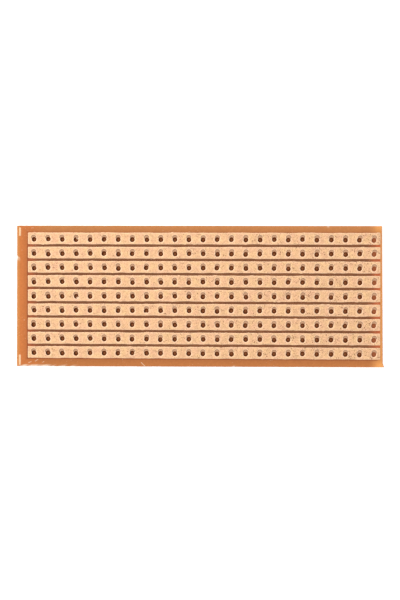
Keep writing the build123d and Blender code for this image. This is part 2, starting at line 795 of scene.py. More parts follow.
@dataclass(frozen=True)
class LaminateFinish:
    """Amber phenolic paper, glowing with painted light where light enters at its edges and dark with
    painted shade between the strips.
    """

    layout: FoilLayout
    amber_high: tuple = hue(207, 135, 76)
    amber_low: tuple = hue(196, 120, 62)
    # painted light: amber and straw glow towards the left end, flame towards the right end; straw is also
    # the colour of the real stress halo
    amber_left_glow: tuple = hue(214, 124, 62)
    straw_glow_and_halo: tuple = hue(221, 146, 76)
    flame_glow: tuple = hue(250, 172, 96)
    # painted shade colour for the margin beside the strips
    foil_shade_tone: tuple = hue(150, 78, 40)
    # painted shade: the bare laminate between the strips
    shaded_gap: tuple = hue(130, 78, 44)
    # painted light: the gaps glow redder towards the ends of the strips
    gap_end_glow: tuple = hue(194, 98, 56)
    opening: tuple = hue(206, 158, 122)
    # painted shade: the inside of the punched holes
    hole_shade_tone: tuple = hue(78, 34, 14)
    cut_paper: tuple = hue(190, 112, 56)
    cut_resin: tuple = hue(146, 72, 32)
    chipped: tuple = hue(252, 222, 190)
    back: tuple = hue(201, 126, 66)
    # painted light: the glow colour of walls lit through the laminate
    ember: tuple = hue(188, 84, 40)
    sheen: float = 0.22
    scratches: tuple = (
        Stroke((-10.4 * MM, -11.85 * MM), (-9.75 * MM, -12.5 * MM), 0.09 * MM),
        Stroke((-29.6 * MM, -11.7 * MM), (-29.1 * MM, -11.35 * MM), 0.08 * MM),
        Stroke((-28.3 * MM, -11.9 * MM), (-28.0 * MM, -11.75 * MM), 0.07 * MM),
        Stroke((-30.8 * MM, -11.95 * MM), (-30.3 * MM, -11.8 * MM), 0.08 * MM),
    )
    scratch_share: float = 0.8
    sheet_thickness: float = 0.10 * MM
    fibre_size: float = 0.35 * MM
    fibre_shade: tuple = (0.93, 1.07)
    dust_size: float = 0.22 * MM
    dust_cluster: float = 5.0 * MM
    dust_amount: float = 0.28
    dust_seed: float = 9.0
    dust_share: float = 0.5
    halo_share: float = 0.5
    lacquer: tuple = (0.0, 0.08)
    relief: float = 0.012 * MM
    stir_size: float = 3.0 * MM
    lift_span: tuple = (-11.0 * MM, 11.5 * MM)
    # reaches of the painted glow at the two ends
    left_glow_reach: tuple = (6.0 * MM, 1.6 * MM)
    straw_glow_reach: tuple = (0.75 * MM, 0.10 * MM)
    flame_glow_reach: tuple = (2.6 * MM, 0.1 * MM)
    # reach and share of the painted shade beside the strips
    foil_shade_reach: float = 1.3 * MM
    foil_shade_share: float = 0.3
    shadow_reach: tuple = (0.32 * MM, 0.04 * MM)
    shadow_fade: tuple = (8.0 * MM, 12.0 * MM, 0.9, 0.35)
    shadow_right: tuple = (0.5 * MM, 1.2 * MM, 0.15, 1.0)
    end_reach: tuple = (-2.6 * MM, 0.1 * MM)
    end_leftward: tuple = (-1.0 * MM, 1.0 * MM, 0.6, 1.0)
    blotch_size: float = 0.9 * MM
    blotch_shade: tuple = (0.88, 1.14)
    under_strip: tuple = (0.90 * MM, 0.97 * MM)
    block_edge: tuple = (0.02 * MM, -0.06 * MM)

    def material(self) -> bpy.types.Material:
        """Makes the material.

        Returns:
            The laminate material, which reads the marks cut, chip, halo, ember and bore; ember is a painted
            glow and bore a painted shade in the holes.
        """
        constants = {"Specular_IOR_Level": self.sheen, "Emission_Strength": 1.0, "Coat_Roughness": 0.25}
        material, bench, shader = new_material("phenolic_laminate", **constants)
        place = bench.place()
        colour = self._top_colour(bench, place)
        underside = bench.rise(bench.axes(place)[2], 0.30 * MM, 0.05 * MM)
        colour = bench.mix(underside, colour, self.back)
        sheets = bench.noise(bench.stretched(place, 0.2, 0.2), self.sheet_thickness, 2.0, 0.6)
        cut_colour = bench.mix(bench.rise(sheets, 0.35, 0.65), self.cut_resin, self.cut_paper)
        colour = bench.mix(bench.mark("cut"), colour, cut_colour)
        # painted shade darkens the hole walls
        colour = bench.mix(bench.mark("bore"), colour, self.hole_shade_tone)
        fibres = bench.noise(place, self.fibre_size, 3.0, 0.65, 0.4)
        colour = bench.shade(colour, bench.rise(fibres, 0.25, 0.75, *self.fibre_shade))
        dust = FLECKS.mask(bench, place, self.dust_size, self.dust_cluster,
                           self.dust_amount, self.dust_seed)
        colour = bench.tint(colour, self.chipped, dust, self.dust_share)
        colour = bench.tint(colour, self.straw_glow_and_halo, bench.mark("halo"), self.halo_share)
        for scratch in self.scratches:
            colour = bench.tint(colour, self.chipped, scratch.mask(bench, place), self.scratch_share)
        colour = bench.mix(bench.mark("chip"), colour, self.chipped)
        bench.feed(shader.inputs["Base Color"], colour)
        rough = bench.math("MULTIPLY_ADD", fibres, 0.25, 0.28)
        bench.feed(shader.inputs["Roughness"], bench.math("MULTIPLY_ADD", bench.mark("cut"), 0.3, rough))
        bench.feed(shader.inputs["Coat Weight"], bench.rise(fibres, 0.2, 0.8, *self.lacquer))
        # painted light: the walls glow though they are no lamp
        glow = bench.mix(bench.mark("ember"), (0.0, 0.0, 0.0), self.ember)
        bench.feed(shader.inputs["Emission Color"], glow)
        weave = bench.math("MULTIPLY_ADD", sheets, bench.mark("cut"), fibres)
        bench.feed(shader.inputs["Normal"], bench.bump(weave, 0.35, self.relief))
        return material

    def _top_colour(self, bench: NodeBench, place: bpy.types.NodeSocket) -> bpy.types.NodeSocket:
        """Colour of the copper side: margins, the gaps between strips and the etched openings.

        Args:
            bench: The material's bench.
            place: The point's place.

        Returns:
            The colour's socket.
        """
        lay = self.layout
        axes = bench.axes(place)
        x = bench.math("SUBTRACT", axes[0], lay.centre[0])
        y = bench.math("SUBTRACT", axes[1], lay.centre[1])
        past_end = bench.math("SUBTRACT", bench.math("ABSOLUTE", x), lay.half_length)
        past_side = bench.math("SUBTRACT", bench.math("ABSOLUTE", y), lay.half_height)
        outside = bench.math("MAXIMUM", past_end, past_side)
        margin = self._margin_colour(bench, place, outside)

        # painted light: the gaps glow redder near the strips' ends, more at the right end than the left
        near_end = bench.rise(past_end, *self.end_reach)
        leftward = bench.rise(x, *self.end_leftward)
        shaded_gap = bench.tint(self.shaded_gap, self.gap_end_glow, near_end, leftward)
        blotch = bench.rise(bench.noise(place, self.blotch_size, 2.0), 0.3, 0.7, *self.blotch_shade)
        shaded_gap = bench.shade(shaded_gap, blotch)
        phase = bench.math("WRAP", y, lay.pitch / 2, -lay.pitch / 2)
        within = bench.rise(bench.math("ABSOLUTE", phase), *self.under_strip)
        # the etched openings keep the laminate's lighter colour; the gaps between strips take the painted
        # shade
        inner = bench.mix(within, self.opening, shaded_gap)
        return bench.mix(bench.rise(outside, *self.block_edge), margin, inner)

    def _margin_colour(self, bench: NodeBench, place: bpy.types.NodeSocket,
                       outside: bpy.types.NodeSocket) -> bpy.types.NodeSocket:
        """Colour of the bare margins: amber, lighter towards the back, lit up with painted light at the two
        ends and darkened with painted shade beside the strips.

        Args:
            bench: The material's bench.
            place: The point's place.
            outside: How far the point lies outside the block of strips.

        Returns:
            The colour's socket.
        """
        axes = bench.axes(place)
        left, right = self.layout.sides()
        to_right = bench.math("SUBTRACT", right, axes[0])
        to_left = bench.math("SUBTRACT", axes[0], left)
        stirred = bench.noise(place, self.stir_size, 3.0, 0.6)
        lift = bench.math("MULTIPLY_ADD", stirred, 0.5, bench.rise(axes[1], *self.lift_span, -0.25, 0.75))
        colour = bench.mix(lift, self.amber_low, self.amber_high)
        # painted light: the margin glows towards the left end, straw right at its edge, and flame orange
        # towards the right end
        colour = bench.mix(bench.rise(to_left, *self.left_glow_reach), colour, self.amber_left_glow)
        colour = bench.mix(bench.rise(to_left, *self.straw_glow_reach), colour, self.straw_glow_and_halo)
        colour = bench.mix(bench.rise(to_right, *self.flame_glow_reach), colour, self.flame_glow)
        # painted shade: the margin darkens towards the strips, and a thin darker line lies along their foot
        foot = bench.rise(outside, self.foil_shade_reach, 0.0, 0.0, self.foil_shade_share)
        colour = bench.mix(foot, colour, self.foil_shade_tone)
        depth = bench.rise(axes[1], *self.shadow_fade)
        shaded = bench.rise(outside, *self.shadow_reach, 0.0, depth)
        shaded = bench.math("MULTIPLY", shaded, bench.rise(to_right, *self.shadow_right))
        return bench.mix(shaded, colour, self.foil_shade_tone)


@dataclass(frozen=True)
class LintFinish:
    """Pale paper and resin crumbs left in some holes by the punch."""

    pale: tuple = hue(250, 228, 200)
    amber: tuple = hue(214, 150, 100)

    def material(self) -> bpy.types.Material:
        """Makes the material.

        Returns:
            The crumbs' material, pale and amber by turns along its fibres.
        """
        material, bench, shader = new_material("punch_lint")
        place = bench.place()
        fibres = bench.noise(place, 0.06 * MM, 3.0, 0.6)
        colour = bench.mix(bench.rise(fibres, 0.35, 0.65), self.amber, self.pale)
        bench.feed(shader.inputs["Base Color"], colour)
        bench.feed(shader.inputs["Roughness"], bench.math("MULTIPLY_ADD", fibres, 0.2, 0.65))
        bench.feed(shader.inputs["Normal"], bench.bump(fibres, 0.5, 0.01 * MM))
        return material


# ---------------------------------------------------------------- sub-assemblies


@dataclass(frozen=True)
class PunchedGrid:
    """The lead holes, punched by a tool whose pins never stand quite true."""

    centre: tuple[float, float]
    pitch: float
    columns: int
    rows: int
    radius: float
    stray: float = 0.038 * MM
    wear: float = 0.012 * MM
    seed: int = 12

    @classmethod
    def from_record(cls, record: dict) -> "PunchedGrid":
        """Reads the grid from the record's mounts for its first and its last hole.

        The pitch is their distance across the strips, shared among the steps between the rows.

        Args:
            record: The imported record.

        Returns:
            The grid.
        """
        mounts = {mount["name"]: mount for mount in record["mounts"]}
        first, last = (mounts[name]["pos_m"] for name in ("lead_hole_first", "lead_hole_last"))
        pitch = (first[1] - last[1]) / (STRIP_COUNT - 1)
        return cls(
            centre=((first[0] + last[0]) / 2, (first[1] + last[1]) / 2),
            pitch=pitch,
            columns=round((last[0] - first[0]) / pitch) + 1,
            rows=STRIP_COUNT,
            radius=mounts["lead_hole_first"]["dims"]["r_mm"] * MM,
        )

    def centres(self) -> np.ndarray:
        """Hole centres, rows from the lowest up and columns from the left.

        Returns:
            An array of shape (rows, columns, 2). Each pin strays at random about its place.
        """
        rng = np.random.default_rng(self.seed)
        columns = (np.arange(self.columns) - (self.columns - 1) / 2) * self.pitch + self.centre[0]
        rows = (np.arange(self.rows) - (self.rows - 1) / 2) * self.pitch + self.centre[1]
        places = np.stack(np.meshgrid(columns, rows), axis=-1)
        stray = rng.normal(0.0, self.stray, places.shape)
        return places + np.clip(stray, -2.2 * self.stray, 2.2 * self.stray)

    def radii(self) -> np.ndarray:
        """Hole radii of shape (rows, columns), each pin worn a little differently."""
        rng = np.random.default_rng(self.seed + 1)
        return self.radius + rng.uniform(-self.wear, self.wear, (self.rows, self.columns))


def rays_from(centres: np.ndarray, loops: np.ndarray) -> tuple[np.ndarray, np.ndarray]:
    """Directions from each hole's centre to the points round its cell.

    Args:
        centres: Hole centres, of shape (cells, 2).
        loops: Points round each cell, of shape (cells, points, 2).

    Returns:
        Unit directions and distances: offsets from the centre, divided by their own length.
    """
    offsets = loops - centres[:, None, :]
    reach = np.linalg.norm(offsets, axis=-1)
    return offsets / reach[..., None], reach


@dataclass
class LaminateBoard:
    """The sheet of phenolic paper laminate, with punched holes and sheared edges."""

    grid: PunchedGrid
    layout: FoilLayout
    steps: int = 8
    top_rings: tuple = (0.35, 0.07)
    bottom_rings: tuple = (0.10, 0.42)
    wall_levels: tuple = (0.88, 0.45)
    band_rings: tuple = (0.22, 0.45, 0.65, 0.80, 0.90, 0.96)
    side_levels: tuple = (0.985, 0.90, 0.76, 0.60, 0.42, 0.25, 0.10, 0.02)
    spur_height: float = 0.55 * MM
    right_climb: float = 0.15 * MM
    top_shortfall: float = 0.20 * MM
    lip_drop: float = 0.025 * MM
    breakout_rise: float = 0.06 * MM
    edge_wear: float = 0.010 * MM
    chip_depth: float = 0.22 * MM
    chip_run: tuple = (0.3 * MM, 0.9 * MM, 5.4 * MM, 6.2 * MM)
    chip_tail: tuple = (5.8 * MM, 6.6 * MM, 9.0 * MM, 12.0 * MM)
    # shares and reaches of the painted glow on the walls
    ember_right: tuple = (0.9, 0.9 * MM)
    ember_left: tuple = (0.08, 2.5 * MM)
    ember_floor: float = 0.01
    edge_wave: tuple = (0.016 * MM, 0.8 * MM, 7.0 * MM)
    tear_wave: tuple = (0.018 * MM, 0.35 * MM, 2.4 * MM)
    chip_wave: tuple = (0.6, 0.7 * MM, 2.1 * MM)
    break_wave: tuple = (1.6, 0.9 * MM, 2.6 * MM)
    nick_wave: tuple = (1.0, 1.1 * MM, 9.0 * MM)
    torn_below: float = 0.7
    side_inset: float = 0.004 * MM
    edge_round: float = 0.02 * MM
    marks: tuple = ("cut", "chip", "halo", "ember", "bore")
    lattice: CellLattice = field(init=False)
    top: float = field(init=False)

    def __post_init__(self) -> None:
        """Works out the lattice and the board's height from the frame."""
        self.lattice = CellLattice(self.grid.columns, self.grid.rows, self.steps)
        self.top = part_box("board")[1].z

    def build(self) -> bpy.types.Object:
        """Builds the sheet: pierced cells in the middle, a margin band with a sheared side round them.

        Returns:
            The board piece.
        """
        mesh = MeshGatherer(self.marks)
        plan = self._lattice_plan()
        upper = mesh.add(np.column_stack([plan, np.full(len(plan), self.top)]))
        lower = mesh.add(np.column_stack([plan, np.zeros(len(plan))]))
        self._pierce_cells(mesh, plan, upper, lower)
        self._add_margin(mesh, plan, upper, lower)
        return mesh.piece("board_laminate")

    def _lattice_plan(self) -> np.ndarray:
        """Places of the lattice points: cells of one pitch square, centred on the hole grid."""
        half = np.array([self.grid.columns, self.grid.rows]) / 2
        return (self.lattice.places() - half) * self.grid.pitch + np.array(self.grid.centre)

    def _ember(self, x: np.ndarray) -> np.ndarray:
        """Painted glow for the light that soaks through the laminate to a wall.

        It falls off steeply from the right edge and gently from the left one, over a faint even share.

        Args:
            x: Places along X.

        Returns:
            The share of glow at each place.
        """
        left, right = self.layout.ends()
        from_right = self.ember_right[0] * np.exp((x - right) / self.ember_right[1])
        from_left = self.ember_left[0] * np.exp((left - x) / self.ember_left[1])
        return from_right + from_left + self.ember_floor

    def _pierce_cells(self, mesh: MeshGatherer, plan: np.ndarray, upper: np.ndarray,
                      lower: np.ndarray) -> None:
        """Adds every cell: its upper face, the hole's wall and its lower face, as one set of rings.

        A ring point lies a share of the way from the hole's rim to the cell's side. The rim dips a
        little on top, and the wall flares where the punch broke out underneath.

        Args:
            mesh: Gathers the points and quads.
            plan: Places of the lattice points.
            upper: Numbers of the upper lattice points.
            lower: Numbers of the lower lattice points.
        """
        loops = self.lattice.cell_loops()
        centres = self.grid.centres().reshape(-1, 2)
        radii = self.grid.radii().reshape(-1, 1)
        rays, reach = rays_from(centres, plan[loops])
        around = np.arctan2(rays[..., 1], rays[..., 0])
        cell = np.arange(len(centres))[:, None]
        ragged = np.sin(3.0 * around + cell) * 0.5 + np.sin(7.0 * around + 2.7 * cell) * 0.3
        # painted glow on each hole's wall, by the hole's place along the board
        ember = self._ember(centres[:, :1]) * np.ones_like(reach)

        def ring(radius: np.ndarray, z: np.ndarray | float, **marks: np.ndarray | float) -> np.ndarray:
            """Adds one ring of every cell.

            Args:
                radius: Distances from the hole centres, of shape (cells, points).
                z: The ring's height.
                **marks: The ring's marks.

            Returns:
                The points' numbers, of shape (cells, points).
            """
            flat = centres[:, None, :] + rays * radius[..., None]
            points = np.concatenate([flat, np.broadcast_to(z, reach.shape)[..., None]], axis=-1)
            return mesh.add(points, **marks)

        rings = [upper[loops]]
        for share in self.top_rings:
            drop = self.lip_drop * 0.35 * (share < 0.1)
            rings.append(ring(radii + (reach - radii) * share, self.top - drop))
        rim = radii * np.ones_like(reach)
        # the hole's rim and wall are darkened with painted shade and lit with a painted glow
        rings.append(ring(rim, self.top - self.lip_drop, cut=0.5, ember=ember * 0.5, bore=0.5))
        for level in self.wall_levels:
            wall = rim * (1.0 + 0.012 * ragged * (1.0 - level))
            rings.append(ring(wall, self.top * level, cut=1.0, ember=ember, bore=0.85))
        breakout = rim * (1.10 + 0.05 * ragged)
        rings.append(ring(breakout, self.breakout_rise * (1.0 + 0.3 * ragged), cut=0.6, halo=1.0))
        for share in self.bottom_rings:
            halo = 0.8 if share < 0.2 else 0.0
            rings.append(ring(breakout + (reach - breakout) * share, 0.0, halo=halo))
        rings.append(lower[loops])
        mesh.skin_rings(np.stack(rings, axis=1), Side.INWARD_RINGS)

    def _outline(self, loop: np.ndarray) -> tuple[np.ndarray, np.ndarray, np.ndarray]:
        """The sheared outline, point for point with the border of the lattice.

        Each side is the straight line between its two corners, at the share of the way that the
        lattice point has along its own side. The last of the right side bends out into the burr.

        Args:
            loop: Places of the lattice's border points, anticlockwise from the lower left. Not used.

        Returns:
            The outline's points, the unit directions out of the board, and distances along it.
        """
        left, right = self.layout.sides()
        low, high = self.layout.edges()
        corners = np.array([
            [left, low],
            [right, low + self.right_climb],
            [right - self.top_shortfall, high],
            [left, high],
        ])
        wide, tall = self.lattice.wide, self.lattice.high
        points, outward = [], []
        sides = [(wide, (0, -1)), (tall, (1, 0)), (wide, (0, 1)), (tall, (-1, 0))]
        for side, (count, way) in enumerate(sides):
            share = (np.arange(count) / count)[:, None]
            points.append(corners[side] * (1.0 - share) + corners[(side + 1) % 4] * share)
            outward.append(np.tile(np.array(way, float), (count, 1)))
        outline, out = np.concatenate(points), np.concatenate(outward)
        for corner in (0, wide, wide + tall, 2 * wide + tall):
            out[corner] = (out[corner - 1] + out[corner]) / math.sqrt(2.0)
        burr_up = np.clip(1.0 - (outline[:, 1] - low - self.right_climb) / self.spur_height, 0.0, 1.0)
        on_right = outline[:, 0] > right - 1.05 * self.top_shortfall
        outline[:, 0] += np.where(on_right, SPUR_REACH * burr_up, 0.0)
        stride = np.linalg.norm(np.diff(outline, axis=0, append=outline[:1]), axis=1)
        return outline, out, np.concatenate([[0.0], np.cumsum(stride)[:-1]])

    def _chips(self, outline: np.ndarray, along: np.ndarray) -> np.ndarray:
        """How far the upper edge is chipped away at each outline point, 0 to 1.

        Chips run along the left end of the lower edge, with a few short nicks elsewhere.

        Args:
            outline: The outline's points.
            along: Distances along it.

        Returns:
            The chip share of each point.
        """
        low_side = outline[:, 1] < self.layout.board_centre[1] - 0.9 * self.layout.board_half[1]
        x = outline[:, 0] - self.layout.ends()[0]
        ragged = 0.75 + Wander(*self.chip_wave, seed=41).at(along)
        run, tail = (
            smooth_step(x, start, full) * smooth_step(x, end, fading)
            for start, full, fading, end in (self.chip_run, self.chip_tail)
        )
        broken = Wander(*self.break_wave, seed=43).at(along) > 0.1
        chips = low_side * np.clip(run + 0.45 * tail * broken, 0, 1)
        chips = chips * np.clip(ragged, 0.2, 1.0)
        nicks = smooth_step(Wander(*self.nick_wave, seed=47).at(along), 1.0, 1.4)
        return np.clip(np.maximum(chips, 0.7 * nicks), 0.0, 1.0)

    def _add_margin(self, mesh: MeshGatherer, plan: np.ndarray, upper: np.ndarray,
                    lower: np.ndarray) -> None:
        """Adds the plain band round the hole grid and the sheared side, as rings.

        On top each ring lies a share of the way from the lattice to the outline. The side bulges and
        tears as a shear leaves it: smooth in its upper third, ragged below.

        Args:
            mesh: Gathers the points and quads.
            plan: Places of the lattice points.
            upper: Numbers of the upper lattice points.
            lower: Numbers of the lower lattice points.
        """
        border = self.lattice.border_loop()
        inner = plan[border]
        outline, out, along = self._outline(inner)
        chips = self._chips(outline, along)
        worn = self.edge_wear + Wander(*self.edge_wave, seed=31).at(along)
        worn = np.clip(worn, 0.0, None) + 0.3 * self.chip_depth * chips
        edge = outline - out * worn[:, None]

        def ring(flat: np.ndarray, z: np.ndarray | float, **marks: np.ndarray | float) -> np.ndarray:
            """Adds one ring round the board.

            Args:
                flat: The ring's places, of shape (points, 2).
                z: Its height.
                **marks: Its marks.

            Returns:
                The points' numbers.
            """
            height = np.broadcast_to(z, len(flat))
            return mesh.add(np.column_stack([flat, height]), **marks)

        rings = [upper[border]]
        for share in self.band_rings:
            near = chips * smooth_step(np.full(len(chips), share), 0.70, 0.86)
            band = inner + (edge - inner) * share
            rings.append(ring(band, self.top - 0.12 * self.chip_depth * near, chip=near))
        for number, level in enumerate(self.side_levels):
            torn = Wander(*self.tear_wave, seed=60 + number).at(along) * (level < self.torn_below)
            inset = worn * (0.4 + 0.6 * level) + self.side_inset + np.abs(torn)
            drop = self.chip_depth * chips * smooth_step(np.full(len(chips), level), 0.6, 0.95)
            round_off = self.edge_round if number in (0, len(self.side_levels) - 1) else 0.0
            side = outline - out * (inset + round_off)[:, None]
            # the side wall is lit with a painted glow, strongest at the right end
            rings.append(ring(side, self.top * level - drop, cut=0.15 if number == 0 else 0.6,
                              chip=chips * (level > self.torn_below), ember=0.2 * self._ember(side[:, 0])))
        foot = outline - out * (self.edge_wear * 1.6)
        rings.append(ring(foot, 0.0, cut=0.3))
        rings.append(ring(inner + (foot - inner) * 0.5, 0.0))
        rings.append(lower[border])
        mesh.skin_rings(np.stack(rings, axis=0), Side.OUTWARD_RINGS)

    def dress(self, piece: bpy.types.Object) -> None:
        """Gives the board its finish and its place in the frame.

        Args:
            piece: The board piece.
        """
        piece.data.materials.append(LaminateFinish(self.layout).material())
        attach(piece, BODY)
        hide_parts("board")


@dataclass
class FoilStrip:
    """One etched copper strip, with an etched opening and a punched hole in every cell."""

    number: int
    grid: PunchedGrid
    layout: FoilLayout
    steps: int = 14
    rings: tuple = (0.93, 0.80, 0.62, 0.45, 0.30, 0.19, 0.10, 0.04)
    opening_radius: float = 0.385 * MM
    opening_shift: float = 0.168 * MM
    opening_stray: float = 0.022 * MM
    undercut: float = 0.10 * MM
    edge_wave: float = 0.034 * MM
    edge_roll: float = 0.010 * MM
    corner_pull: float = 0.035 * MM
    burr_reach: float = 0.16 * MM
    burr_rarity: float = 0.985
    shortest_wave: float = 0.9 * MM
    longest_wave: float = 11.0 * MM
    shine_reach: tuple = (0.34 * MM, 0.04 * MM)
    mouth_shine: tuple = (0.36 * MM, 0.06 * MM)
    etch_depth: float = 0.6
    marks: tuple = ("rim", "etch")

    @property
    def node(self) -> str:
        """The CAD node that this strip replaces."""
        return f"foil_strip_{self.number}"

    def build(self) -> bpy.types.Object:
        """Builds the strip: a row of cells, each pierced, inside a wavy etched edge.

        Returns:
            The strip piece.
        """
        low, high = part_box(self.node)
        lattice = CellLattice(self.grid.columns, 1, self.steps)
        plan = self._wavy_plan(lattice, low, high)
        mesh = MeshGatherer(self.marks)
        border = lattice.border_loop()
        on_edge = np.zeros(len(plan))
        on_edge[border] = 1.0
        upper_z = high.z - self.edge_roll * on_edge
        # the rim mark carries the painted highlight along the strip's edges
        upper = mesh.add(np.column_stack([plan, upper_z]), rim=self._edge_highlight(plan, low, high))
        lower = mesh.add(np.column_stack([plan, np.full(len(plan), low.z)]))
        self._pierce_cells(mesh, lattice, plan, upper, lower, (low, high))
        mesh.skin_rings(np.stack([upper[border], lower[border]], axis=0), Side.OUTWARD_RINGS)
        return mesh.piece(f"{self.node}_copper")

    def _wavy_plan(self, lattice: CellLattice, low: Vector, high: Vector) -> np.ndarray:
        """Places of the lattice points inside the strip's box, with wavy long edges.

        A point's Y is its share of the way between the lower and the upper edge at its X, and each
        edge is a straight line plus a wandering wave and a few small etching burrs.

        Args:
            lattice: The strip's lattice.
            low: Lowest corner of the strip's box.
            high: Highest corner of it.

        Returns:
            The places, of shape (points, 2).
        """
        places = lattice.places()
        x = low.x + (high.x - low.x) * places[:, 0] / lattice.columns
        rng = np.random.default_rng(900 + self.number)
        columns = np.round(places[:, 0] * self.steps).astype(int)
        burrs = rng.random((2, lattice.wide + 1)) > self.burr_rarity
        reach = self.burr_reach * rng.uniform(0.3, 1.0, burrs.shape) * burrs
        reach = 0.5 * reach + 0.35 * (np.roll(reach, 1, axis=1) + np.roll(reach, -1, axis=1))
        below, above = (
            Wander(self.edge_wave, self.shortest_wave, self.longest_wave, seed=seed + self.number).at(x)
            for seed in (100, 200)
        )
        bottom = low.y + below - reach[0][columns]
        top = high.y + above + reach[1][columns]
        y = bottom + (top - bottom) * places[:, 1]
        end_wave = Wander(0.012 * MM, 0.5 * MM, 3.0 * MM, seed=300 + self.number).at(y)
        at_end = (places[:, 0] == 0) | (places[:, 0] == lattice.columns)
        x = x + np.where(at_end, end_wave, 0.0)
        corner = at_end & ((places[:, 1] == 0) | (places[:, 1] == 1))
        middle = (low + high) / 2
        x = np.where(corner, x - np.sign(x - middle.x) * self.corner_pull, x)
        y = np.where(corner, y - np.sign(y - middle.y) * self.corner_pull, y)
        return np.column_stack([x, y])

    def _edge_highlight(self, flat: np.ndarray, low: Vector, high: Vector) -> np.ndarray:
        """Painted highlight beside the strip's outer edge, fading over a quarter of a millimetre.

        Args:
            flat: Places, of shape (..., 2).
            low: Lowest corner of the strip's box.
            high: Highest corner of it.

        Returns:
            The painted highlight at each place, 0 to 1.
        """
        to_side = np.minimum(flat[..., 1] - low.y, high.y - flat[..., 1])
        to_end = np.minimum(flat[..., 0] - low.x, high.x - flat[..., 0])
        return smooth_step(np.minimum(to_side, to_end), *self.shine_reach)

    def _opening(self, rays: np.ndarray, centres: np.ndarray, radii: np.ndarray) -> np.ndarray:
        """Distance from each hole's centre to the edge of the bare area round it.

        The bare area is the punched hole and the etched opening together. Along a unit ray u, the
        edge of an opening of radius r centred at d is at u.d + sqrt(r^2 - d^2 + (u.d)^2), where the
        root is real, and the farther of the two edges counts.

        Args:
            rays: Unit directions, of shape (cells, points, 2).
            centres: Hole centres, of shape (cells, 2).
            radii: Hole radii, of shape (cells, 1).

        Returns:
            The distances, of shape (cells, points).
        """
        rng = np.random.default_rng(500 + self.number)
        half = (self.grid.columns - 1) / 2
        etched_x = self.layout.centre[0] + (np.arange(self.grid.columns) - half) * self.layout.pitch
        row = STRIP_COUNT - self.number
        etched_y = self.layout.centre[1] + (row - (STRIP_COUNT - 1) / 2) * self.layout.pitch
        etched = np.stack([etched_x, np.full_like(etched_x, etched_y + self.opening_shift)], axis=1)
        etched += rng.normal(0.0, self.opening_stray, etched.shape)
        away = etched - centres
        radius = self.opening_radius * rng.uniform(0.95, 1.06, (len(centres), 1))
        forward = (rays * away[:, None, :]).sum(axis=-1)
        inside = radius**2 - (away**2).sum(axis=-1)[:, None] + forward**2
        etched_edge = np.where(inside > 0.0, forward + np.sqrt(np.maximum(inside, 0.0)), 0.0)
        return np.maximum(radii, etched_edge)

    def _pierce_cells(self, mesh: MeshGatherer, lattice: CellLattice, plan: np.ndarray, upper: np.ndarray,
                      lower: np.ndarray, box: tuple[Vector, Vector]) -> None:
        """Adds every cell: its upper face down to the opening, the foil's thickness and its lower face.

        Args:
            mesh: Gathers the points and quads.
            lattice: The strip's lattice.
            plan: Places of the lattice points.
            upper: Numbers of the upper lattice points.
            lower: Numbers of the lower lattice points.
            box: The strip's lowest and highest corners.
        """
        low, high = box
        row = STRIP_COUNT - self.number
        centres, radii = self.grid.centres()[row], self.grid.radii()[row][:, None]
        loops = lattice.cell_loops()
        rays, reach = rays_from(centres, plan[loops])
        opening = self._opening(rays, centres, radii)
        etched = smooth_step(opening - radii, 0.01 * MM, 0.05 * MM)
        rings = [upper[loops]]
        for share in (*self.rings, 0.0):
            radius = opening + (reach - opening) * share
            flat = centres[:, None, :] + rays * radius[..., None]
            past = radius - opening
            # painted highlight round each opening's mouth, and half as much along the strip's edges
            mouth = smooth_step(past, *self.mouth_shine)
            rim = np.maximum(0.5 * self._edge_highlight(flat, low, high), mouth)
            # the etch mark sinks the foil at the etched edge and carries its painted shade
            etch = etched * smooth_step(past, self.undercut, 0.4 * self.undercut)
            roll = self.edge_roll * smooth_step(past, 0.05 * MM, 0.0)
            dip = roll + self.etch_depth * (high.z - low.z) * etch
            points = np.concatenate([flat, (high.z - dip)[..., None]], axis=-1)
            rings.append(mesh.add(points, rim=rim, etch=etch))
        # the foil's inner wall at the opening takes the painted shade in full
        flat = centres[:, None, :] + rays * opening[..., None]
        foot = np.concatenate([flat, np.full((*opening.shape, 1), low.z)], axis=-1)
        rings.append(mesh.add(foot, etch=etched))
        rings.append(lower[loops])
        mesh.skin_rings(np.stack(rings, axis=1), Side.INWARD_RINGS)

    def dress(self, piece: bpy.types.Object, copper: bpy.types.Material) -> None:
        """Gives the strip its finish and its place in the frame.

        Args:
            piece: The strip piece.
            copper: The foil's material.
        """
        piece.data.materials.append(copper)
        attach(piece, BODY)
        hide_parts(self.node)


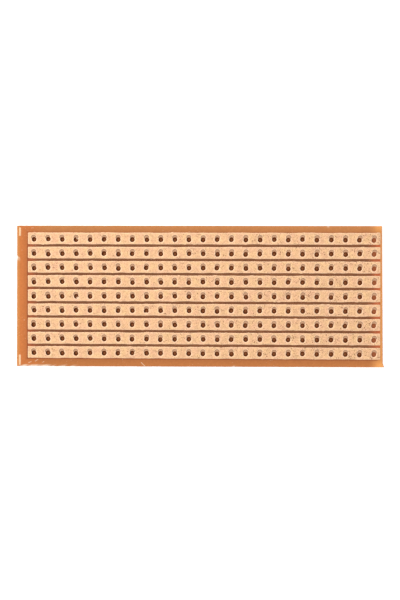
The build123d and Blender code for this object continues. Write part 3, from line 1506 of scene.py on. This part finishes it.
@dataclass
class CornerMark:
    """A short etched copper bar that guides the trimming of the board."""

    node: str
    steps: tuple = (6, 24)
    wave: float = 0.012 * MM
    corner_pull: float = 0.015 * MM
    edge_roll: float = 0.010 * MM
    seed: int = 700

    def build(self) -> bpy.types.Object:
        """Builds the bar: a grid with wavy long edges on top and below, and a wall between them.

        Returns:
            The mark piece.
        """
        low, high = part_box(self.node)
        across, up = self.steps
        u, v = np.meshgrid(np.linspace(-1, 1, across + 1), np.linspace(-1, 1, up + 1))
        centre, half = (low + high) / 2, (high - low) / 2
        y = centre.y + half.y * v
        wave = Wander(self.wave, 0.3 * MM, 2.0 * MM, seed=self.seed).at(y)
        corner = (np.abs(u) == 1) & (np.abs(v) == 1)
        x = centre.x + u * (half.x - self.wave + wave) - np.sign(u) * self.corner_pull * corner
        y = y - np.sign(v) * self.corner_pull * corner
        on_edge = (np.abs(u) == 1) | (np.abs(v) == 1)
        mesh = MeshGatherer(("rim",))
        # painted highlight: the rim mark grows towards the bar's two long edges
        rim = np.clip(1.2 - 1.2 * (1.0 - np.abs(u)), 0.0, 1.0)
        upper = mesh.add(np.stack([x, y, high.z - self.edge_roll * on_edge], axis=-1), rim=rim)
        lower = mesh.add(np.stack([x, y, np.full_like(x, low.z)], axis=-1))
        mesh.skin_grid(upper, upward=True)
        mesh.skin_grid(lower, upward=False)
        sides = [np.concatenate([g[0, :-1], g[:-1, -1], g[-1, :0:-1], g[:0:-1, 0]]) for g in (upper, lower)]
        mesh.skin_rings(np.stack(sides, axis=0), Side.OUTWARD_RINGS)
        return mesh.piece(f"{self.node}_copper")

    def dress(self, piece: bpy.types.Object, copper: bpy.types.Material) -> None:
        """Gives the mark its finish and its place in the frame.

        Args:
            piece: The mark piece.
            copper: The foil's material.
        """
        piece.data.materials.append(copper)
        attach(piece, BODY)
        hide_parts(self.node)


@dataclass(frozen=True)
class PunchLint:
    """A crumb of paper and resin hanging in the mouth of one lead hole."""

    name: str
    column: int
    row_from_top: int
    bearing: float
    length: float
    width: float
    depth: float = 0.16 * MM
    around: int = 18
    levels: int = 11
    pole_gap: float = 0.05
    seed: int = 0

    def build(self, grid: PunchedGrid, top: float) -> bpy.types.Object:
        """Builds the crumb: an ellipsoid with a lumpy radius, leaning on the hole's wall.

        The radius is 1 plus three low waves in longitude and latitude. The poles are single rings
        drawn together to almost nothing and closed by their own small caps. Laying the crumb along
        the wall mirrors its rings, so they run clockwise seen from above.

        Args:
            grid: The lead holes.
            top: Height of the laminate's upper face.

        Returns:
            The crumb piece.
        """
        rng = np.random.default_rng(800 + self.seed)
        phases = rng.uniform(0.0, TURN, 3)
        turn = np.arange(self.around) * TURN / self.around
        tilt = np.linspace(math.pi / 2 - self.pole_gap, self.pole_gap - math.pi / 2, self.levels)
        lon, lat = np.meshgrid(turn, tilt)
        lump = 1.0 + 0.16 * np.sin(2 * lon + phases[0]) + 0.12 * np.sin(3 * lon + 2 * lat + phases[1])
        lump += 0.08 * np.sin(5 * lon - 3 * lat + phases[2])
        along = np.cos(lat) * np.cos(lon) * lump * self.length / 2
        across = np.cos(lat) * np.sin(lon) * lump * self.width / 2
        height = np.sin(lat) * self.depth / 2
        row = grid.rows - 1 - self.row_from_top
        hole = grid.centres()[row, self.column]
        radius = grid.radii()[row, self.column] - self.width * 0.35
        way = np.array([math.cos(self.bearing), math.sin(self.bearing)])
        side = np.array([-way[1], way[0]])
        middle = hole + way * radius
        flat = middle + along[..., None] * side + across[..., None] * way
        points = np.concatenate([flat, (top - self.depth * 0.55 + height)[..., None]], axis=-1)
        mesh = MeshGatherer()
        rings = mesh.add(points)
        mesh.skin_rings(rings, Side.INWARD_RINGS)
        near = np.arange(self.around // 2 - 1)
        far = self.around - 1 - near
        for ring, upward in ((0, True), (-1, False)):
            cap = rings[ring][np.stack([near, near + 1, far - 1, far], axis=-1)]
            mesh.quads.append(cap[:, ::-1] if upward else cap)
        return mesh.piece(self.name, smooth_angle=math.pi)

    def dress(self, piece: bpy.types.Object, lint: bpy.types.Material) -> None:
        """Gives the crumb its finish and its place in the frame.

        Args:
            piece: The crumb piece.
            lint: The crumbs' material.
        """
        piece.data.materials.append(lint)
        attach(piece, BODY)


# ---------------------------------------------------------------- studio


@dataclass(frozen=True)
class Studio:
    """A pale floor, soft light all round with a gentle key lamp, and the camera above the board."""

    floor_half: float = 1.5
    floor_tone: float = 0.90
    white_lift: float = 0.7
    # painted light: the floor's colour and glow under the board, and the painted spot below each hole
    under_light_tint: tuple = hue(150, 84, 50)
    under_glow: tuple = hue(88, 46, 22)
    under_glow_right: tuple = hue(146, 84, 54)
    spot_tone: tuple = hue(160, 104, 68)
    spot_gain: float = 0.45
    spot_slip: tuple = (0.16 * MM, 0.0)
    spot_reach: tuple = (0.27 * MM, 0.08 * MM)
    glow_reach: tuple = (2.75 * MM, 1.35 * MM)
    foot_fade: tuple = (-0.5 * MM, -0.1 * MM)
    sky_level: float = 0.78
    key_power: float = 2.2
    key_size: float = 0.6
    key_place: tuple = (-0.38, 0.34, 0.62)
    distance: float = 598.04 * MM
    lean_right: float = math.radians(6.31)
    lean_back: float = math.radians(0.715)
    roll: float = math.radians(0.129)
    aim_shift: tuple = (0.551 * MM, 0.558 * MM)
    lens: float = 201.24
    sensor: float = 36.0

    def build_floor(self, layout: FoilLayout, grid: PunchedGrid) -> None:
        """Lays the floor, which looks white to the camera except under the board itself.

        There it is painted amber and glows with painted light from the light that soaks through the
        laminate, a little more in a painted spot where light falls straight through a hole.

        Args:
            layout: Gives the board's footprint.
            grid: Gives the places of the holes.
        """
        half = self.floor_half
        corners = [(-half, -half, 0), (half, -half, 0), (half, half, 0), (-half, half, 0)]
        mesh = bpy.data.meshes.new("floor")
        mesh.from_pydata(corners, [], [(0, 1, 2, 3)])
        floor = bpy.data.objects.new("floor", mesh)
        bpy.context.scene.collection.objects.link(floor)
        material, bench, shader = new_material("floor_white", Roughness=0.9, Specular_IOR_Level=0.0)
        axes = bench.axes(bench.place())
        left, right = layout.sides()
        to_right = bench.math("SUBTRACT", right, axes[0])
        past_right = bench.math("SUBTRACT", axes[0], right)
        past_x = bench.math("MAXIMUM", past_right, bench.math("SUBTRACT", left, axes[0]))
        from_middle = bench.math("ABSOLUTE", bench.math("SUBTRACT", axes[1], layout.board_centre[1]))
        past_y = bench.math("SUBTRACT", from_middle, layout.board_half[1])
        clear = bench.rise(bench.math("MAXIMUM", past_x, past_y), *self.foot_fade)
        # painted light: amber floor colour under the board, white beyond it
        bench.feed(shader.inputs["Base Color"], bench.mix(clear, self.under_light_tint, (self.floor_tone,) * 3))
        lift = bench.mix(bench.seen(), (0.0, 0.0, 0.0), (self.white_lift,) * 3)
        # painted glow under the board, warmer towards the right end, with a painted spot of light below
        # each hole
        soaked = bench.mix(bench.rise(to_right, *self.glow_reach), self.under_glow, self.under_glow_right)
        spot = bench.rise(self._off_hole(bench, axes, grid), *self.spot_reach, 0.0, self.spot_gain)
        soaked = bench.mix(spot, soaked, self.spot_tone)
        glow = bench.node("ShaderNodeEmission", {"Color": bench.mix(clear, soaked, lift)})
        both = bench.node("ShaderNodeAddShader", {0: shader.outputs[0], 1: glow.outputs[0]})
        output = next(n for n in material.node_tree.nodes if n.type == "OUTPUT_MATERIAL")
        bench.feed(output.inputs["Surface"], both.outputs[0])
        mesh.materials.append(material)

    def _off_hole(self, bench: NodeBench, axes: bpy.types.NodeOutputs,
                  grid: PunchedGrid) -> bpy.types.NodeSocket:
        """How far a place on the floor lies from the middle of the light spot of its nearest hole.

        Each axis is wrapped to within half a pitch of a spot, and the two are joined as a length.

        Args:
            bench: The floor's bench.
            axes: The place's X, Y and Z sockets.
            grid: Gives the places of the holes.

        Returns:
            The distance's socket.
        """
        squares = []
        for axis, slip in enumerate(self.spot_slip):
            offset = bench.math("SUBTRACT", axes[axis], grid.centre[axis] - slip)
            wrapped = bench.math("WRAP", offset, grid.pitch / 2, -grid.pitch / 2)
            squares.append(bench.math("MULTIPLY", wrapped, wrapped))
        return bench.math("SQRT", bench.math("ADD", *squares))

    def build_light(self) -> None:
        """Lights the scene: an even white sky and one large soft key lamp from the upper left."""
        world = bpy.data.worlds.new("studio_sky")
        world.use_nodes = True
        bpy.context.scene.world = world
        bench = NodeBench(world.node_tree)
        sky = world.node_tree.nodes["Background"]
        sky.inputs["Color"].default_value = (1.0, 1.0, 1.0, 1.0)
        strength = bench.math("MULTIPLY_ADD", bench.seen(), 1.0 - self.sky_level, self.sky_level)
        bench.feed(sky.inputs["Strength"], strength)
        lamp = bpy.data.lights.new("key", "AREA")
        lamp.energy = self.key_power
        lamp.size = self.key_size
        key = bpy.data.objects.new("key", lamp)
        key.location = self.key_place
        key.rotation_euler = Vector(self.key_place).to_track_quat("Z", "Y").to_euler()
        bpy.context.scene.collection.objects.link(key)

    def build_camera(self, grid: PunchedGrid, top: float) -> None:
        """Hangs the camera over the board, a little to its right.

        With R the turn of the board seen from the camera and t the board's place before it, the
        camera stands at minus the inverse of R applied to t, and its own turn is that inverse.

        Args:
            grid: The lead holes, whose middle the camera is aimed at.
            top: Height of the copper side.
        """
        turn = Euler((-self.lean_back, self.lean_right, self.roll), "XYZ")
        data = bpy.data.cameras.new("camera")
        data.lens = self.lens
        data.sensor_width = self.sensor
        data.clip_start, data.clip_end = 0.01, 10.0
        camera = bpy.data.objects.new("camera", data)
        camera.rotation_euler = turn
        before = Vector((-self.aim_shift[0], -self.aim_shift[1], self.distance))
        camera.location = Vector((*grid.centre, top)) + turn.to_matrix() @ before
        bpy.context.scene.collection.objects.link(camera)
        bpy.context.scene.camera = camera


def lint_crumbs() -> list[PunchLint]:
    """The crumbs left in four of the holes.

    Returns:
        The crumbs, each with its hole's column and row, its bearing, its length and its width.
    """
    return [
        PunchLint("punch_lint_1", 3, 0, math.radians(55), 0.40 * MM, 0.30 * MM, seed=1),
        PunchLint("punch_lint_2", 3, 4, math.radians(-50), 0.42 * MM, 0.30 * MM, seed=2),
        PunchLint("punch_lint_3", 8, 5, math.radians(-90), 0.46 * MM, 0.26 * MM, seed=3),
        PunchLint("punch_lint_4", 11, 6, math.radians(5), 0.32 * MM, 0.20 * MM, seed=4),
    ]


def report(piece: bpy.types.Object) -> None:
    """Logs a finished piece.

    Args:
        piece: The piece.
    """
    log.info("%s: %d faces, finish %s", piece.name, len(piece.data.polygons), piece.data.materials[0].name)


def main() -> None:
    """Builds the board, its strips, marks and lint in order, then the studio round them."""
    logging.basicConfig(level=logging.INFO, format="%(name)s: %(message)s")
    bpy.context.scene.view_settings.view_transform = "Standard"
    grid = PunchedGrid.from_record(frame["record"])
    layout = FoilLayout.from_frame()

    board = LaminateBoard(grid, layout)
    sheet = board.build()
    board.dress(sheet)
    report(sheet)

    copper = CopperFoilFinish().material()
    for number in range(1, STRIP_COUNT + 1):
        strip = FoilStrip(number, grid, layout)
        piece = strip.build()
        strip.dress(piece, copper)
        report(piece)
    for seed, node in enumerate(("corner_mark_top", "corner_mark_bottom")):
        mark = CornerMark(node, seed=700 + seed)
        piece = mark.build()
        mark.dress(piece, copper)
        report(piece)

    lint = LintFinish().material()
    for crumb in lint_crumbs():
        piece = crumb.build(grid, board.top)
        crumb.dress(piece, lint)
        report(piece)

    studio = Studio()
    studio.build_floor(layout, grid)
    studio.build_light()
    studio.build_camera(grid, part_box("foil_strip_1")[1].z)


if __name__ == "__main__":
    main()
